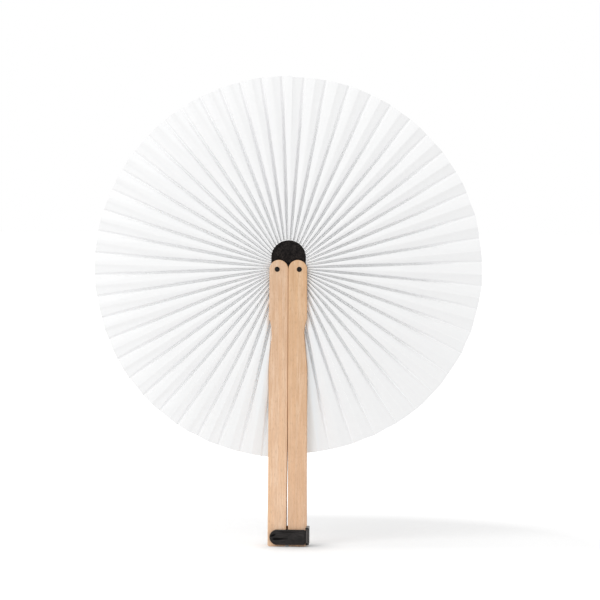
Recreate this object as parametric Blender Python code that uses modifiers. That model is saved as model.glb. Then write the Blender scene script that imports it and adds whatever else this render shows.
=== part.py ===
"""Wooden folding fan, opened into a full round and standing on the feet of its two handle sticks.

Metres, +Z up. The front faces -Y, and the origin is on the ground in the middle of the handle.
"""

import math

import bmesh
import bpy
from mathutils import Matrix, Vector

# Driving dimensions
PIN_HEIGHT = 0.180  # the two pivot pins above the ground
PIN_SPACING = 0.01434  # between the pins' axes
LEAF_RADIUS = 0.125  # rim of the open leaf
STICK_WIDTH = 0.012  # at the round end, seen from the front
STICK_DEPTH = 0.012  # front to back
CLEARANCE = 0.0003  # between pieces that lie against each other
OVERRUN = 0.002  # how far a cut runs past the surface it opens

# Sticks
STICK_GAP = 0.0003  # between the two sticks above the slit
STICK_ROUNDING = 0.0009
STICK_FLARE = 0.00048  # how much further out the outer edge is at the foot
FOOT_GAP = 0.00125
FOOT_CORNER = 0.0016
SLIT_TOP = 0.095  # where the sticks begin to part
SLIT_LENGTH = 0.09
SLIT_POWER = 2.2  # how slowly it opens at first
NOTCH_TOP = 0.1485  # finger notch in the outer edge
NOTCH_LENGTH = 0.0331
NOTCH_DEPTH = 0.0018
FORK_RUN = 0.0006  # from the hub's dome to the bottom of the fork, with the fan shut
TOP_STEPS = 20
CORNER_STEPS = 4
SLIT_STEPS = 6
EDGE_STEPS = 3  # between two entries of the notch's table

# Share of the notch's length from its top, and share of its depth
NOTCH_SHARES = ((0, 0), (0.08, 0.42), (0.21, 0.87), (0.35, 1), (0.51, 0.72), (0.72, 0.36), (0.88, 0.1), (1, 0))

# Hub
HUB_THICKNESS = 0.0064
HUB_RADIUS = 0.01125
HUB_RISE = 0.0076  # centre of the dome above the pins
HUB_SKIRT = 0.008  # lower end of the hub below the pins
HUB_CORNER = 0.004
HUB_ROUNDING = 0.0006
HUB_RIM = 0.0011
HUB_RECESS = 0.00035
DOME_STEPS = 36

# Pivot pins
PIN_RADIUS = 0.0012
PIN_HEAD_RADIUS = 0.00165
PIN_HEAD_HEIGHT = 0.0009
PIN_STEPS = 24
HEAD_STEPS = 4

# Leaf
PLEAT_WIDTH = 0.0086  # of one panel, fold to fold
LEAF_THICKNESS = 0.0002
LEAF_RISE = 0.0014  # centre of the folds above the pins
LEAF_CLEARANCE = 0.0005  # round the hub and along the sticks
LEAF_SEAM = 0.00015  # between two sections
LEAF_TAIL = 0.0015  # shortest fold beside a stick
LEFT_PLEATS = 27
RIGHT_PLEATS = 25
SECTION_PLEATS = 2
FIRST_FOLD = math.radians(1)  # the leaf sits turned by this much, clockwise
FOLD_SWEEP = math.radians(175)
FOLD_SPREAD_SHARE = 0.05  # how much wider the pleats are spread near the sticks
RADIAL_STEPS = 9
RADIAL_POWER = 1.3
SIDE_STEPS = 4  # columns in a panel that the stick's edge cuts off at a slant
SIDE_TURN = math.radians(128)  # from here on a fold starts at the stick's edge
SEARCH_STEPS = 400
SEARCH_HALVINGS = 20

# Turn of a fold, as a share of half a circle, and its distance from the leaf's centre, as a share
# of the distance from the middle to a pin
FOLD_OFFSET_SHARES = ((0, 0), (0.25, -0.13), (0.5, -0.05), (0.67, 0.2), (0.83, 0.36), (1, 0.48))
# Turn of a fold, as a share of half a circle, and its reach as a share of the leaf's radius
RIM_SHARES = ((0, 0.986), (0.25, 0.993), (0.5, 1), (0.75, 0.987), (1, 0.972))
# Turn of a fold, as a share of half a circle, and place of its section's axis between the middle
# and the edge of the stick when the fan is shut
AXIS_SHARES = ((0, 0.06), (1, 0.92))

# Clip
CLIP_THICKNESS = 0.0026
CLIP_HEIGHT = 0.0098
CLIP_FOOT = 0.0013  # lower end above the ground
CLIP_REACH = 0.0113  # from the middle of the handle to the rounded end
CLIP_EAR = 0.0009
CLIP_WALL = 0.0013
CLIP_ROUNDING = 0.0005
CLIP_ARM_CORNER = 0.0016
CLIP_END_STEPS = 16
HINGE_RADIUS = 0.00115
HINGE_PIN_RADIUS = 0.00035
HINGE_PIN_PROUD = 0.0004
HINGE_BORE_GAP = 0.00025
HINGE_STEPS = 20
GROOVE_DEPTH = 0.0005

# Grooves in the front of the clip: middle along and up, as shares of the clip's reach and height
# from its middle, then length as a share of the reach and width as a share of the height
GROOVE_SHARES = (
    (-0.74, 0.11, 0.2, 0.13),
    (-0.26, -0.15, 0.82, 0.17),
    (0.05, 0.3, 0.74, 0.09),
)

# Worked out from the above
PIN_OUT = PIN_SPACING / 2
TOP_INNER = STICK_GAP / 2
TOP_OUTER = TOP_INNER + STICK_WIDTH
TOP_RADIUS = STICK_WIDTH / 2
TOP_CENTRE = TOP_INNER + TOP_RADIUS
SHUT_HALF_GAP = 2 * PIN_OUT - TOP_OUTER
SLOT_WIDTH = HUB_THICKNESS + 2 * CLEARANCE
SLOT_DEPTH = HUB_RISE + HUB_RADIUS + FORK_RUN
DOME_HEIGHT = PIN_HEIGHT + HUB_RISE
LEAF_CENTRE = PIN_HEIGHT + LEAF_RISE
FRONT = -STICK_DEPTH / 2
CLIP_BACK = FRONT - CLEARANCE
CLIP_MIDDLE = CLIP_BACK - CLIP_THICKNESS / 2
CLIP_TOP = CLIP_FOOT + CLIP_HEIGHT
CLIP_CENTRE = CLIP_FOOT + CLIP_HEIGHT / 2
EAR_TOP = CLIP_TOP + CLEARANCE + CLIP_EAR
WALL_IN = TOP_OUTER + STICK_FLARE + CLEARANCE
WALL_OUT = WALL_IN + CLIP_WALL
HINGE_OUT = WALL_OUT - HINGE_RADIUS

LEFT = -1
RIGHT = 1

for old in list(bpy.data.objects):
    bpy.data.objects.remove(old, do_unlink=True)

fan = bpy.data.collections.new("folding_fan")
bpy.context.scene.collection.children.link(fan)
cutters = bpy.data.collections.new("cutters")
bpy.context.scene.collection.children.link(cutters)


def material(name, colour, roughness, metallic=0.0):
    """A Principled material in one plain colour."""
    made = bpy.data.materials.new(name)
    made.use_nodes = True
    shader = made.node_tree.nodes["Principled BSDF"]
    shader.inputs["Base Color"].default_value = (*colour, 1)
    shader.inputs["Roughness"].default_value = roughness
    shader.inputs["Metallic"].default_value = metallic
    made.diffuse_color = (*colour, 1)
    return made


WOOD_LEFT = material("pale_wood_left", (0.78, 0.58, 0.40), 0.6)
WOOD_RIGHT = material("pale_wood_right", (0.74, 0.53, 0.35), 0.6)
HUB_PLASTIC = material("black_grained_plastic", (0.025, 0.024, 0.024), 0.65)
CLIP_PLASTIC = material("black_clip_plastic", (0.03, 0.03, 0.031), 0.4)
TONGUE_PLASTIC = material("black_tongue_plastic", (0.035, 0.034, 0.035), 0.38)
PIN_METAL = material("dark_pin_metal", (0.08, 0.075, 0.07), 0.4, 0.9)
WIRE_METAL = material("dark_hinge_wire", (0.1, 0.1, 0.1), 0.35, 1.0)
LEAF_PAPER = material("white_leaf", (0.9, 0.9, 0.9), 0.8)


def smooth_shares(table, share):
    """Value of a table of shares on a smooth curve through its entries."""
    places = [place for place, _ in table]
    values = [value for _, value in table]
    if share <= places[0]:
        return values[0]
    if share >= places[-1]:
        return values[-1]
    last = len(table) - 1
    i = max(n for n in range(last) if places[n] <= share)

    def slope(n):
        if n == 0 or n == last:
            return 0
        return (values[n + 1] - values[n - 1]) / (places[n + 1] - places[n - 1])

    width = places[i + 1] - places[i]
    t = (share - places[i]) / width
    return (
        values[i] * (2 * t**3 - 3 * t**2 + 1)
        + slope(i) * width * (t**3 - 2 * t**2 + t)
        + values[i + 1] * (3 * t**2 - 2 * t**3)
        + slope(i + 1) * width * (t**3 - t**2)
    )


def outer_edge(height):
    """Distance of a stick's outer edge from the middle of the handle at this height."""
    flare = STICK_FLARE * (1 - height / PIN_HEIGHT)
    notch = NOTCH_DEPTH * smooth_shares(NOTCH_SHARES, (NOTCH_TOP - height) / NOTCH_LENGTH)
    return TOP_OUTER + flare - notch


def inner_edge(height):
    """Distance of a stick's inner edge from the middle of the handle at this height."""
    t = min(max((SLIT_TOP - height) / SLIT_LENGTH, 0), 1)
    return TOP_INNER + (FOOT_GAP - STICK_GAP) / 2 * t**SLIT_POWER


def arc(centre, radius, start, end, steps):
    """Points on an arc, from one angle in degrees to another."""
    points = []
    for i in range(steps + 1):
        angle = math.radians(start + (end - start) * i / steps)
        points.append((centre[0] + radius * math.cos(angle), centre[1] + radius * math.sin(angle)))
    return points


def place(obj, where, look, shelf=fan):
    """Puts an object in its collection and gives it its place and its material."""
    for old in list(obj.users_collection):
        old.objects.unlink(obj)
    shelf.objects.link(obj)
    obj.location = where
    if look:
        obj.data.materials.clear()
        obj.data.materials.append(look)
    return obj


def shade(obj, degrees=35):
    """Smooth shading with sharp edges kept."""
    obj.data.shade_smooth()
    obj.data.set_sharp_from_angle(angle=math.radians(degrees))


def plate(name, outlines, thickness, upright=True):
    """A flat piece cut to closed outlines. Upright, it stands in XZ, otherwise it lies in XY.

    It is centred on its own plane, and its sides are a mesh that can be cut.
    """
    curve = bpy.data.curves.new(name, "CURVE")
    curve.dimensions = "2D"
    curve.fill_mode = "BOTH"
    curve.extrude = thickness / 2
    for outline in outlines:
        spline = curve.splines.new("POLY")
        spline.points.add(len(outline) - 1)
        for point, (x, y) in zip(spline.points, outline):
            point.co = (x, y, 0, 1)
        spline.use_cyclic_u = True
    drawn = bpy.data.objects.new(name + "_outline", curve)
    bpy.context.scene.collection.objects.link(drawn)
    bpy.context.view_layer.update()
    evaluated = drawn.evaluated_get(bpy.context.evaluated_depsgraph_get())
    mesh = bpy.data.meshes.new_from_object(evaluated)
    mesh.name = name
    bpy.data.objects.remove(drawn, do_unlink=True)
    bpy.data.curves.remove(curve)
    bm = bmesh.new()
    bm.from_mesh(mesh)
    bmesh.ops.remove_doubles(bm, verts=bm.verts, dist=thickness / 1000)
    flat = math.radians(0.05)
    bmesh.ops.dissolve_limit(bm, angle_limit=flat, verts=bm.verts, edges=bm.edges)
    if upright:
        bmesh.ops.rotate(bm, verts=bm.verts, cent=Vector(), matrix=Matrix.Rotation(math.pi / 2, 3, "X"))
    bmesh.ops.recalc_face_normals(bm, faces=bm.faces)
    bm.to_mesh(mesh)
    bm.free()
    return bpy.data.objects.new(name, mesh)


def rod(name, radius, length, axis, steps):
    """A round bar centred on its origin, along Y or Z."""
    mesh = bpy.data.meshes.new(name)
    bm = bmesh.new()
    bmesh.ops.create_cone(
        bm, cap_ends=True, segments=steps, radius1=radius, radius2=radius, depth=length
    )
    if axis == "Y":
        bmesh.ops.rotate(bm, verts=bm.verts, cent=Vector(), matrix=Matrix.Rotation(math.pi / 2, 3, "X"))
    bm.to_mesh(mesh)
    bm.free()
    return bpy.data.objects.new(name, mesh)


def block(name, low, high):
    """A box from one corner to the other, its mesh centred on its origin."""
    size = [b - a for a, b in zip(low, high)]
    middle = [(a + b) / 2 for a, b in zip(low, high)]
    mesh = bpy.data.meshes.new(name)
    bm = bmesh.new()
    bmesh.ops.create_cube(bm, size=1)
    bmesh.ops.scale(bm, vec=size, verts=bm.verts)
    bm.to_mesh(mesh)
    bm.free()
    obj = bpy.data.objects.new(name, mesh)
    return place(obj, middle, None, cutters)


def rounded(obj, width, segments=2):
    """Rounds the edges between an outline's faces and its sides."""
    bevel = obj.modifiers.new("rounding", "BEVEL")
    bevel.width = width
    bevel.segments = segments
    bevel.limit_method = "ANGLE"
    bevel.angle_limit = math.radians(50)
    bevel.use_clamp_overlap = True


def combine(obj, tool, operation="DIFFERENCE"):
    """Cuts obj with tool, or joins the tool to it."""
    tool.hide_render = True
    tool.display_type = "WIRE"
    step = obj.modifiers.new(tool.name, "BOOLEAN")
    step.operation = operation
    step.solver = "EXACT"
    step.object = tool


def stick_outline(side):
    """Outline of one stick about its pin: round end, inner edge, foot, and outer edge with its notch."""
    foot_in = inner_edge(0)
    foot_out = outer_edge(0)
    points = arc((TOP_CENTRE, PIN_HEIGHT), TOP_RADIUS, 0, 180, TOP_STEPS)
    for i in range(SLIT_STEPS + 1):
        height = SLIT_TOP - SLIT_LENGTH * i / SLIT_STEPS
        points.append((inner_edge(height), height))
    points += arc((foot_in + FOOT_CORNER, FOOT_CORNER), FOOT_CORNER, 180, 270, CORNER_STEPS)
    points += arc((foot_out - FOOT_CORNER, FOOT_CORNER), FOOT_CORNER, 270, 360, CORNER_STEPS)
    shares = []
    for (low, _), (high, _) in zip(NOTCH_SHARES, NOTCH_SHARES[1:]):
        shares += [low + (high - low) * n / EDGE_STEPS for n in range(EDGE_STEPS)]
    for share in reversed(shares + [NOTCH_SHARES[-1][0]]):
        height = NOTCH_TOP - NOTCH_LENGTH * share
        points.append((outer_edge(height), height))
    return [(side * (x - PIN_OUT), z - PIN_HEIGHT) for x, z in points]


def make_stick(name, side, look):
    """A wooden stick, forked at its round end for the hub and bored for its pin."""
    stick = plate(name, [stick_outline(side)], STICK_DEPTH)
    rounded(stick, STICK_ROUNDING)
    where = Vector((side * PIN_OUT, 0, PIN_HEIGHT))
    place(stick, where, look)
    slot = block(
        name + "_fork",
        (side * PIN_OUT - STICK_WIDTH, -SLOT_WIDTH / 2, PIN_HEIGHT - SLOT_DEPTH),
        (side * PIN_OUT + STICK_WIDTH, SLOT_WIDTH / 2, PIN_HEIGHT + TOP_RADIUS + OVERRUN),
    )
    combine(stick, slot)
    bore = rod(name + "_bore", PIN_RADIUS + CLEARANCE, STICK_DEPTH + 2 * OVERRUN, "Y", PIN_STEPS)
    place(bore, where, None, cutters)
    combine(stick, bore)
    shade(stick)
    return stick


def hub_outline(inset):
    """Outline of the hub: a dome over straight sides, with rounded lower corners."""
    radius = HUB_RADIUS - inset
    corner = HUB_CORNER - inset
    foot = -HUB_SKIRT + inset
    points = arc((0, HUB_RISE), radius, 0, 180, DOME_STEPS)
    points += arc((corner - radius, foot + corner), corner, 180, 270, CORNER_STEPS)
    points += arc((radius - corner, foot + corner), corner, 270, 360, CORNER_STEPS)
    return points


def make_hub():
    """The black hub that both pins go through, with a rim round each face."""
    hub = plate("hub", [hub_outline(0)], HUB_THICKNESS)
    rounded(hub, HUB_ROUNDING, 1)
    place(hub, (0, 0, PIN_HEIGHT), HUB_PLASTIC)
    for face, direction in (("front", -1), ("back", 1)):
        recess = plate("hub_recess_" + face, [hub_outline(HUB_RIM)], 2 * HUB_RECESS)
        place(recess, (0, direction * HUB_THICKNESS / 2, PIN_HEIGHT), None, cutters)
        combine(hub, recess)
    for word, side in (("left", LEFT), ("right", RIGHT)):
        bore = rod("hub_bore_" + word, PIN_RADIUS + CLEARANCE, HUB_THICKNESS + 2 * OVERRUN, "Y", PIN_STEPS)
        place(bore, (side * PIN_OUT, 0, PIN_HEIGHT), None, cutters)
        combine(hub, bore)
    shade(hub)


def make_pin(name, side):
    """A riveted pin with a low round head on both faces of the stick."""
    seat = STICK_DEPTH / 2 + CLEARANCE
    crown = []
    for i in range(HEAD_STEPS + 1):
        angle = math.pi / 2 * i / HEAD_STEPS
        crown.append((PIN_HEAD_RADIUS * math.sin(angle), seat + PIN_HEAD_HEIGHT * math.cos(angle)))
    profile = crown + [(PIN_RADIUS, seat), (PIN_RADIUS, -seat)]
    profile += [(radius, -height) for radius, height in reversed(crown)]
    pin = turned(name, profile, PIN_STEPS)
    pin.rotation_euler = (math.pi / 2, 0, 0)
    place(pin, (side * PIN_OUT, 0, PIN_HEIGHT), PIN_METAL)
    shade(pin)


def turned(name, profile, steps):
    """A profile of radii and heights, top to bottom, turned about Z."""
    mesh = bpy.data.meshes.new(name)
    bm = bmesh.new()
    verts = [bm.verts.new((radius, 0, height)) for radius, height in profile]
    for a, b in zip(verts, verts[1:]):
        bm.edges.new((a, b))
    bm.to_mesh(mesh)
    bm.free()
    obj = bpy.data.objects.new(name, mesh)
    screw = obj.modifiers.new("turn", "SCREW")
    screw.steps = steps
    screw.render_steps = steps
    screw.use_merge_vertices = True
    screw.merge_threshold = PIN_RADIUS / 1000
    return obj


def fold_turn(half, step):
    """Turn of a fold line from upright. Even steps are front folds and odd steps are back folds."""
    t = step / (2 * half["pleats"] - 1)
    return half["start"] + FOLD_SWEEP * t * (1 + FOLD_SPREAD_SHARE * (t - 1))


def fold_end(turn):
    """Reach of a fold line at the rim."""
    return LEAF_RADIUS * smooth_shares(RIM_SHARES, turn / math.pi)


def fold_point(turn, reach):
    """Point on a fold line: how far out from the middle of the fan, and how high."""
    offset = PIN_OUT * smooth_shares(FOLD_OFFSET_SHARES, turn / math.pi)
    out = reach * math.sin(turn) - offset * math.cos(turn)
    height = LEAF_CENTRE + reach * math.cos(turn) + offset * math.sin(turn)
    return out, height


def near_handle(out, height):
    """Whether a point lies in the hub or a stick, or closer to them than the leaf's clearance."""
    if math.hypot(out, height - DOME_HEIGHT) < HUB_RADIUS + LEAF_CLEARANCE:
        return True
    if out < HUB_RADIUS + LEAF_CLEARANCE and height < DOME_HEIGHT:
        return True
    if math.hypot(out - TOP_CENTRE, height - PIN_HEIGHT) < TOP_RADIUS + LEAF_CLEARANCE:
        return True
    return height < PIN_HEIGHT and out < outer_edge(height) + LEAF_CLEARANCE


def fold_start(turn):
    """Reach at which a fold line comes out from behind the hub or a stick."""
    end = fold_end(turn)
    count = next(
        n for n in range(SEARCH_STEPS + 1) if near_handle(*fold_point(turn, end * (1 - n / SEARCH_STEPS)))
    )
    inside = end * (1 - count / SEARCH_STEPS)
    outside = inside + end / SEARCH_STEPS
    for _ in range(SEARCH_HALVINGS):
        middle = (inside + outside) / 2
        if near_handle(*fold_point(turn, middle)):
            inside = middle
        else:
            outside = middle
    return outside


def last_step(half):
    """Step, with its fraction, at which the leaf comes to its end beside the stick."""
    high = 2 * half["pleats"]
    low = high - 2
    for _ in range(SEARCH_HALVINGS):
        middle = (low + high) / 2
        turn = fold_turn(half, middle)
        if fold_end(turn) - fold_start(turn) > LEAF_TAIL:
            low = middle
        else:
            high = middle
    return low


def section_steps(half, first, last):
    """Steps of a section's columns, with more of them where the stick's edge cuts the leaf off."""
    steps = []
    step = first
    while step < last:
        between = SIDE_STEPS if fold_turn(half, step + 1) > SIDE_TURN else 1
        steps += [step + n / between for n in range(between) if step + n / between < last]
        step += 1
    return steps + [last]


def section_axis(turn):
    """Where a section's hinge axis lies: how far out from the middle of the fan, and how high."""
    share = turn / math.pi
    out = SHUT_HALF_GAP * smooth_shares(AXIS_SHARES, share)
    return out, LEAF_CENTRE - LEAF_RISE / 2 * share


def leaf_point(half, step, share, seam):
    """Front and back of the leaf where a column of this step crosses this share of its length."""
    turn = fold_turn(half, step)
    start = fold_start(turn)
    reach = start + (fold_end(turn) - start) * share**RADIAL_POWER
    out, height = fold_point(turn, reach)
    out += seam * math.cos(turn)
    height -= seam * math.sin(turn)
    spread = reach * (fold_turn(half, step + 0.5) - fold_turn(half, step - 0.5))
    half_wall = LEAF_THICKNESS / 2 * PLEAT_WIDTH / spread
    depth = math.sqrt(max(PLEAT_WIDTH**2 - spread**2, 0))
    fraction = step % 2
    wave = 2 * fraction - 1 if fraction < 1 else 3 - 2 * fraction
    middle = max(depth / 2 - half_wall, 0) * wave
    x = half["side"] * out
    return Vector((x, middle - half_wall, height)), Vector((x, middle + half_wall, height))


def make_section(half, number, first, last):
    """A few pleats of the leaf: a grid of folds, drawn out to the leaf's thickness.

    They turn about an axis of their own, so that with the fan shut all the folds stand between
    the two sticks.
    """
    columns = section_steps(half, first, last)
    axis_out, axis_height = section_axis((fold_turn(half, first) + fold_turn(half, last)) / 2)
    where = Vector((half["side"] * axis_out, 0, axis_height))
    across = len(columns) - 1
    name = "leaf_" + half["word"] + f"_{number:02d}"
    mesh = bpy.data.meshes.new(name)
    bm = bmesh.new()
    bmesh.ops.create_grid(bm, x_segments=across, y_segments=RADIAL_STEPS, size=1)
    backs = {}
    for vert in bm.verts:
        i = round((vert.co.x + 1) / 2 * across)
        j = round((vert.co.y + 1) / 2 * RADIAL_STEPS)
        seam = 0
        if i == 0:
            seam = LEAF_SEAM / 2
        elif i == across and last == round(last):
            seam = -LEAF_SEAM / 2
        front, back = leaf_point(half, columns[i], j / RADIAL_STEPS, seam)
        vert.co = front - where
        backs[vert.co.to_tuple()] = back - where
    bmesh.ops.triangulate(bm, faces=bm.faces, quad_method="FIXED")
    drawn = bmesh.ops.extrude_face_region(bm, geom=bm.faces[:])
    for vert in drawn["geom"]:
        if isinstance(vert, bmesh.types.BMVert):
            vert.co = backs[vert.co.to_tuple()]
    bmesh.ops.recalc_face_normals(bm, faces=bm.faces)
    if bm.calc_volume(signed=True) < 0:
        bmesh.ops.reverse_faces(bm, faces=bm.faces)
    bm.to_mesh(mesh)
    bm.free()
    place(bpy.data.objects.new(name, mesh), where, LEAF_PAPER)


def make_leaf(half):
    """One half of the round leaf, in sections from the top down to its stick."""
    sections = half["pleats"] // SECTION_PLEATS
    end = last_step(half)
    for n in range(sections):
        first = 2 * SECTION_PLEATS * n
        last = end if n == sections - 1 else first + 2 * SECTION_PLEATS
        make_section(half, n + 1, first, last)


def carry(obj, carrier):
    """Parents obj to its carrier where it stands."""
    obj.parent = carrier
    obj.location -= carrier.location


def make_bracket(carrier):
    """The clip's fixed half: an arm behind both sticks, a side wall, and two ears for the hinge."""
    back = STICK_DEPTH / 2 + CLEARANCE
    height = EAR_TOP - CLIP_FOOT
    outline = [(-CLIP_REACH, back), (-CLIP_REACH, back + CLIP_THICKNESS)]
    corner = (WALL_OUT - CLIP_ARM_CORNER, back + CLIP_THICKNESS - CLIP_ARM_CORNER)
    outline += arc(corner, CLIP_ARM_CORNER, 90, 0, CORNER_STEPS)
    meeting = math.degrees(math.acos((WALL_IN - HINGE_OUT) / HINGE_RADIUS))
    outline += arc((HINGE_OUT, CLIP_MIDDLE), HINGE_RADIUS, 0, meeting - 360, HINGE_STEPS)
    outline += [(WALL_IN, back)]
    bracket = plate("clip_bracket", [outline], height, upright=False)
    rounded(bracket, CLIP_ROUNDING)
    place(bracket, (0, 0, CLIP_FOOT + height / 2), CLIP_PLASTIC)
    room = block(
        "clip_tongue_room",
        (HINGE_OUT - HINGE_RADIUS - OVERRUN, CLIP_MIDDLE - HINGE_RADIUS - OVERRUN, CLIP_FOOT + CLIP_EAR),
        (WALL_OUT + OVERRUN, FRONT, CLIP_TOP + CLEARANCE),
    )
    combine(bracket, room)
    combine(bracket, hinge_bore("clip_bracket_bore"))
    shade(bracket)
    carry(bracket, carrier)


def hinge_bore(name):
    """Cutter for the clip's hinge wire, through both ears."""
    bore = rod(name, HINGE_PIN_RADIUS + HINGE_BORE_GAP, EAR_TOP + 2 * OVERRUN, "Z", HINGE_STEPS)
    return place(bore, (HINGE_OUT, CLIP_MIDDLE, EAR_TOP / 2), None, cutters)


def make_hinge_wire(carrier):
    """The wire that the tongue turns on, held in the bracket's ears."""
    low = CLIP_FOOT - HINGE_PIN_PROUD
    high = EAR_TOP + HINGE_PIN_PROUD
    wire = rod("clip_hinge_wire", HINGE_PIN_RADIUS, high - low, "Z", HINGE_STEPS)
    place(wire, (HINGE_OUT, CLIP_MIDDLE, (low + high) / 2), WIRE_METAL)
    shade(wire)
    carry(wire, carrier)


def make_tongue(carrier):
    """The clip's tongue: a strip with a rounded end across the front of both sticks."""
    where = Vector((HINGE_OUT, CLIP_MIDDLE, CLIP_CENTRE))
    radius = CLIP_HEIGHT / 2
    end = -CLIP_REACH - HINGE_OUT
    root = -HINGE_RADIUS - CLEARANCE
    outline = arc((end + radius, 0), radius, 90, 270, CLIP_END_STEPS) + [(root, -radius), (root, radius)]
    tongue = plate("clip_tongue", [outline], CLIP_THICKNESS)
    rounded(tongue, CLIP_ROUNDING)
    place(tongue, where, TONGUE_PLASTIC)
    low = CLIP_FOOT + CLIP_EAR + CLEARANCE
    link = block(
        "clip_tongue_link",
        (HINGE_OUT + root - CLIP_ROUNDING * 2, CLIP_BACK - CLIP_THICKNESS + CLIP_ROUNDING, low),
        (HINGE_OUT, CLIP_BACK - CLIP_ROUNDING, CLIP_TOP - CLIP_ROUNDING),
    )
    combine(tongue, link, "UNION")
    knuckle = rod("clip_tongue_knuckle", HINGE_RADIUS, CLIP_TOP - low, "Z", HINGE_STEPS)
    place(knuckle, (HINGE_OUT, CLIP_MIDDLE, (CLIP_TOP + low) / 2), None, cutters)
    combine(tongue, knuckle, "UNION")
    combine(tongue, hinge_bore("clip_tongue_bore"))
    for n, (along, up, length, width) in enumerate(GROOVE_SHARES):
        half_width = CLIP_HEIGHT * width / 2
        half_length = CLIP_REACH * length / 2 - half_width
        shape = arc((half_length, 0), half_width, -90, 90, CORNER_STEPS)
        shape += arc((-half_length, 0), half_width, 90, 270, CORNER_STEPS)
        groove = plate(f"clip_groove_{n + 1}", [shape], 2 * GROOVE_DEPTH)
        height = CLIP_CENTRE + CLIP_HEIGHT * up
        place(groove, (CLIP_REACH * along, CLIP_BACK - CLIP_THICKNESS, height), None, cutters)
        combine(tongue, groove)
    shade(tongue)
    carry(tongue, carrier)


make_hub()
make_pin("pin_left", LEFT)
make_pin("pin_right", RIGHT)
make_stick("stick_left", LEFT, WOOD_LEFT)
right_stick = make_stick("stick_right", RIGHT, WOOD_RIGHT)
make_bracket(right_stick)
make_hinge_wire(right_stick)
make_tongue(right_stick)
make_leaf({"word": "left", "side": LEFT, "pleats": LEFT_PLEATS, "start": -FIRST_FOLD})
make_leaf({"word": "right", "side": RIGHT, "pleats": RIGHT_PLEATS, "start": FIRST_FOLD})
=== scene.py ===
"""Looks of a wooden folding fan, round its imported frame.

Metres, +Z up. The front faces -Y, and the left half is at -X. Each piece is made in the place of the
node that it stands for, then rides on that node's body.
"""

import math
import random
from functools import cache

import bmesh
import bpy
import numpy as np
from mathutils import Matrix, Vector, noise


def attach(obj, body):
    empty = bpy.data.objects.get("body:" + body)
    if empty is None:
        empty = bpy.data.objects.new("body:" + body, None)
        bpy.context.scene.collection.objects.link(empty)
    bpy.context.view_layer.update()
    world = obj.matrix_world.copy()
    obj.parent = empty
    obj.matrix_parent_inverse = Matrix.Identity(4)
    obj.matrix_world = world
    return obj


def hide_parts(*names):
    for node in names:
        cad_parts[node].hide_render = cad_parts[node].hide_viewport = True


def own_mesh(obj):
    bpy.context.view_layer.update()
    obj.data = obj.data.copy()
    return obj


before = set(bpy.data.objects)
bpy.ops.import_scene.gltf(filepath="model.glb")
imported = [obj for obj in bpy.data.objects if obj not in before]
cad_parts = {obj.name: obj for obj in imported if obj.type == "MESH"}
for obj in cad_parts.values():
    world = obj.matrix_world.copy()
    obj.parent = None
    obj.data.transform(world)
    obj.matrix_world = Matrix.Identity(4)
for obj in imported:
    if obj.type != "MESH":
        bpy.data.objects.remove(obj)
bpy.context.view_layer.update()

# Handle and hub, as in the frame, but with a closer seam between the sticks and a longer slit
PIN_HEIGHT = 0.180
PIN_OUT = 0.00717  # from the middle of the handle
STICK_WIDTH = 0.01208
STICK_DEPTH = 0.012  # front to back
STICK_GAP = 0.00014  # the seam above the slit
STICK_FLARE = 0.00048  # how much further out the outer edge is at the foot
STICK_ROUNDING = 0.0005
FOOT_GAP = 0.00125  # width of the slit at the foot
FOOT_CORNER = 0.0016
SLIT_TOP = 0.105
SLIT_LENGTH = 0.1
SLIT_POWER = 1.6  # how slowly the slit opens at first
NOTCH_TOP = 0.1485
NOTCH_LENGTH = 0.0331
NOTCH_DEPTH = 0.0018
# Depth of the finger notch from its top down
NOTCH_SHARES = (
    (0, 0), (0.08, 0.42), (0.21, 0.87), (0.35, 1), (0.51, 0.72), (0.72, 0.36), (0.88, 0.1), (1, 0),
)
FORK_RUN = 0.0006  # from the hub's dome to the bottom of the fork, with the fan shut
CLEARANCE = 0.0003
OVERRUN = 0.002  # how far a cut runs past the surface that it opens
HUB_THICKNESS = 0.0064
HUB_RADIUS = 0.01125
HUB_RISE = 0.0076  # centre of the dome above the pins
HUB_SKIRT = 0.008  # lower end of the hub below the pins
HUB_CORNER = 0.004
HUB_ROUNDING = 0.0006
HUB_RIM = 0.0011
HUB_RECESS = 0.00035
PIN_RADIUS = 0.0012
PIN_HEAD_RADIUS = 0.00165
PIN_HEAD_HEIGHT = 0.0009
PIN_HEAD_FLAT = 8  # degrees of the head's curve that are worn flat

# Wood
STICK_DARKENS = (0.04, 0.17)  # heights between which it grows darker
FLECK_PLACE = (0.0063, 0, 0.0975)  # a darker spot in the right stick
FLECK_SIZE = (0.0011, 0.02, 0.0058)
FLECK_SHARE = 0.55
FLECK_COLOUR = (0.66, 0.36, 0.18)

# Steps in curves
ROUND_END_STEPS = 40
CORNER_STEPS = 8
SLIT_STEPS = 14
NOTCH_STEPS = 48
DOME_STEPS = 72
RING_STEPS = 32
PIN_STEPS = 40
HEAD_STEPS = 9
WIRE_STEPS = 24
KNOB_STEPS = 6
RECESS_STEPS = 28
SAME_PLACE = 0.0000012  # points closer together than this become one

# Leaf, as in the frame, but closer to the hub and the sticks and with a rim of its own on each side
PLEAT_WIDTH = 0.0086  # of one panel, fold to fold
LEAF_RADIUS = 0.125
LEAF_RISE = 0.0014  # centre of the folds above the pins
LEAF_CLEARANCE = 0.00015
LEAF_SEAM = 0.00001  # between one section and the next
LEAF_TAIL = 0.0015  # shortest fold beside a stick
LEFT_PLEATS = 27
RIGHT_PLEATS = 25
SECTION_PLEATS = 2
FIRST_FOLD = math.radians(1)  # the leaf sits turned by this much, clockwise
FOLD_SWEEP = math.radians(175)
FOLD_SPREAD_SHARE = 0.05  # how much wider the pleats are spread near the sticks
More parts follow.
